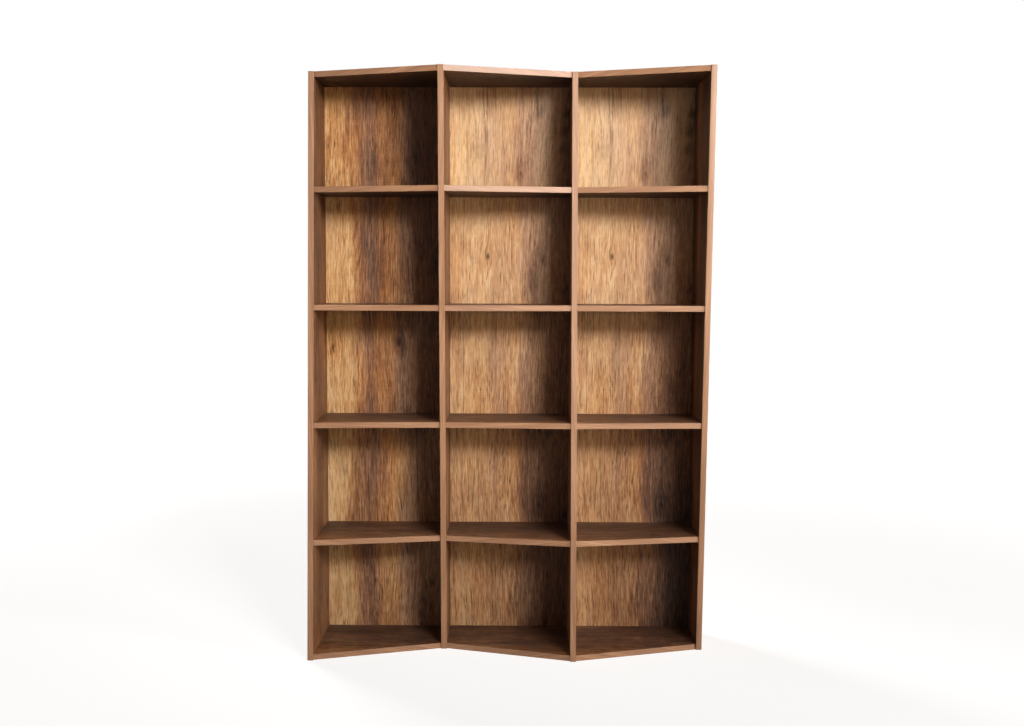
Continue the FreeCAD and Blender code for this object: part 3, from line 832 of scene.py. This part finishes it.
mesh = bpy.data.meshes.new("floor")
corners = [(x * FLOOR_HALF, y * FLOOR_HALF, 0.0) for x, y in ((-1, -1), (1, -1), (1, 1), (-1, 1))]
mesh.from_pydata(corners, [], [(0, 1, 2, 3)])
floor = bpy.data.objects.new("floor", mesh)
bpy.context.scene.collection.objects.link(floor)
floor.location.z = -FLOOR_DROP
material, tree, shader, at = start_material("floor_white")
shader.inputs["Base Color"].default_value = FLOOR_GREY
shader.inputs["Roughness"].default_value = FLOOR_ROUGHNESS
shader.inputs["Specular IOR Level"].default_value = 0.0
shader.inputs["Emission Color"].default_value = WHITE
place = split(tree, at["Object"])
squares = [times(tree, place[way], place[way]) for way in (X, Y)]
away = calc(tree, "SQRT", calc(tree, "ADD", *squares))
glow = calc(tree, "MULTIPLY_ADD", band_pass(tree, away, *GLOW_RISE), GLOW_FAR - GLOW_NEAR, GLOW_NEAR)
tree.links.new(times(tree, seen_plainly(tree), glow), shader.inputs["Emission Strength"])
mesh.materials.append(material)


# The surround: white to the camera and in reflections, and a weak warm fill for everything else, as the
# walls of a studio give it.
WORLD_FILL = (0.058, 0.038, 0.024, 1.0)

world = bpy.data.worlds.new("studio")
bpy.context.scene.world = world
world.use_nodes = True
tree = world.node_tree
tree.nodes.clear()
fill = mix(tree, seen_plainly(tree), WORLD_FILL, WHITE)
sky = new_node(tree, "ShaderNodeBackground", {"Color": fill, "Strength": 1.0})
new_node(tree, "ShaderNodeOutputWorld", {"Surface": sky.outputs[0]})


# The lamps: six softboxes with a grid in front, which keeps each one's light in a cone. The key stands at
# the front right, with two weak warm ones under it, one at each side, and one for the rear.
SOFTBOXES = {
    "key": {
        "place": (2.25, -4.4, 2.9), "aim": (0.0, 0.14, 1.62), "wide": 1.90, "tall": 1.15, "watts": 27.4,
        "spread": 50.0, "colour": (1.0, 0.98, 0.95),
    },
    "side": {
        "place": (3.4, -1.7, 1.15), "aim": (0.0, -0.10, 0.60), "wide": 0.80, "tall": 1.20, "watts": 9.0,
        "spread": 60.0, "colour": (1.0, 0.96, 0.90),
    },
    "left": {
        "place": (-3.6, -1.5, 1.5), "aim": (0.1, -0.10, 1.05), "wide": 0.80, "tall": 1.60, "watts": 1.4,
        "spread": 60.0, "colour": (1.0, 0.95, 0.88),
    },
    "rear": {
        "place": (-2.4, 2.7, 3.3), "aim": (0.0, 0.10, 0.95), "wide": 1.60, "tall": 1.60, "watts": 17.0,
        "spread": 60.0, "colour": (1.0, 0.97, 0.93),
    },
    "front": {
        "place": (0.90, -3.20, 1.70), "aim": (0.25, 0.14, 1.70), "wide": 1.00, "tall": 1.00, "watts": 1.3,
        "spread": 56.0, "colour": (1.0, 0.78, 0.57),
    },
    "low": {
        "place": (2.30, -3.90, 0.95), "aim": (-0.05, 0.14, 0.85), "wide": 0.90, "tall": 1.20, "watts": 2.4,
        "spread": 44.0, "colour": (1.0, 0.80, 0.58),
    },
}
for name, box in SOFTBOXES.items():
    light = bpy.data.lights.new(f"{name}_softbox", "AREA")
    light.shape = "RECTANGLE"
    light.size = box["wide"]
    light.size_y = box["tall"]
    light.energy = box["watts"]
    light.spread = math.radians(box["spread"])
    light.color = box["colour"]
    lamp = bpy.data.objects.new(f"{name}_softbox", light)
    place = Vector(box["place"])
    turn = (Vector(box["aim"]) - place).to_track_quat("-Z", "Y").to_matrix().to_4x4()
    lamp.matrix_world = Matrix.Translation(place) @ turn
    lamp.visible_camera = False
    bpy.context.scene.collection.objects.link(lamp)


# The camera stands where the photograph's middle view was taken from, a little right of the middle and
# at chest height, and looks slightly down. Its place, turn and lens are fitted to the bookcase's corners.
CAMERA_PLACE = Vector((0.0351, -3.6001, 1.2057))
YAW, PITCH, ROLL = math.radians(-0.382), math.radians(4.378), math.radians(0.167)
SENSOR_WIDTH = 36.0
FOCAL_LENGTH = 39.352

right = Vector((math.cos(YAW), -math.sin(YAW), 0.0))
level = Vector((math.sin(YAW), math.cos(YAW), 0.0))
ahead = level * math.cos(PITCH) + Vector((0.0, 0.0, -math.sin(PITCH)))
up = level * math.sin(PITCH) + Vector((0.0, 0.0, math.cos(PITCH)))
tilted_right = right * math.cos(ROLL) + up * math.sin(ROLL)
tilted_up = up * math.cos(ROLL) - right * math.sin(ROLL)
view = bpy.data.cameras.new("photo_view")
view.sensor_width = SENSOR_WIDTH
view.lens = FOCAL_LENGTH
camera = bpy.data.objects.new("photo_view", view)
turn = Matrix((tilted_right, tilted_up, -ahead)).transposed().to_4x4()
camera.matrix_world = Matrix.Translation(CAMERA_PLACE) @ turn
bpy.context.scene.collection.objects.link(camera)
bpy.context.scene.camera = camera
bpy.context.scene.view_settings.view_transform = "Standard"
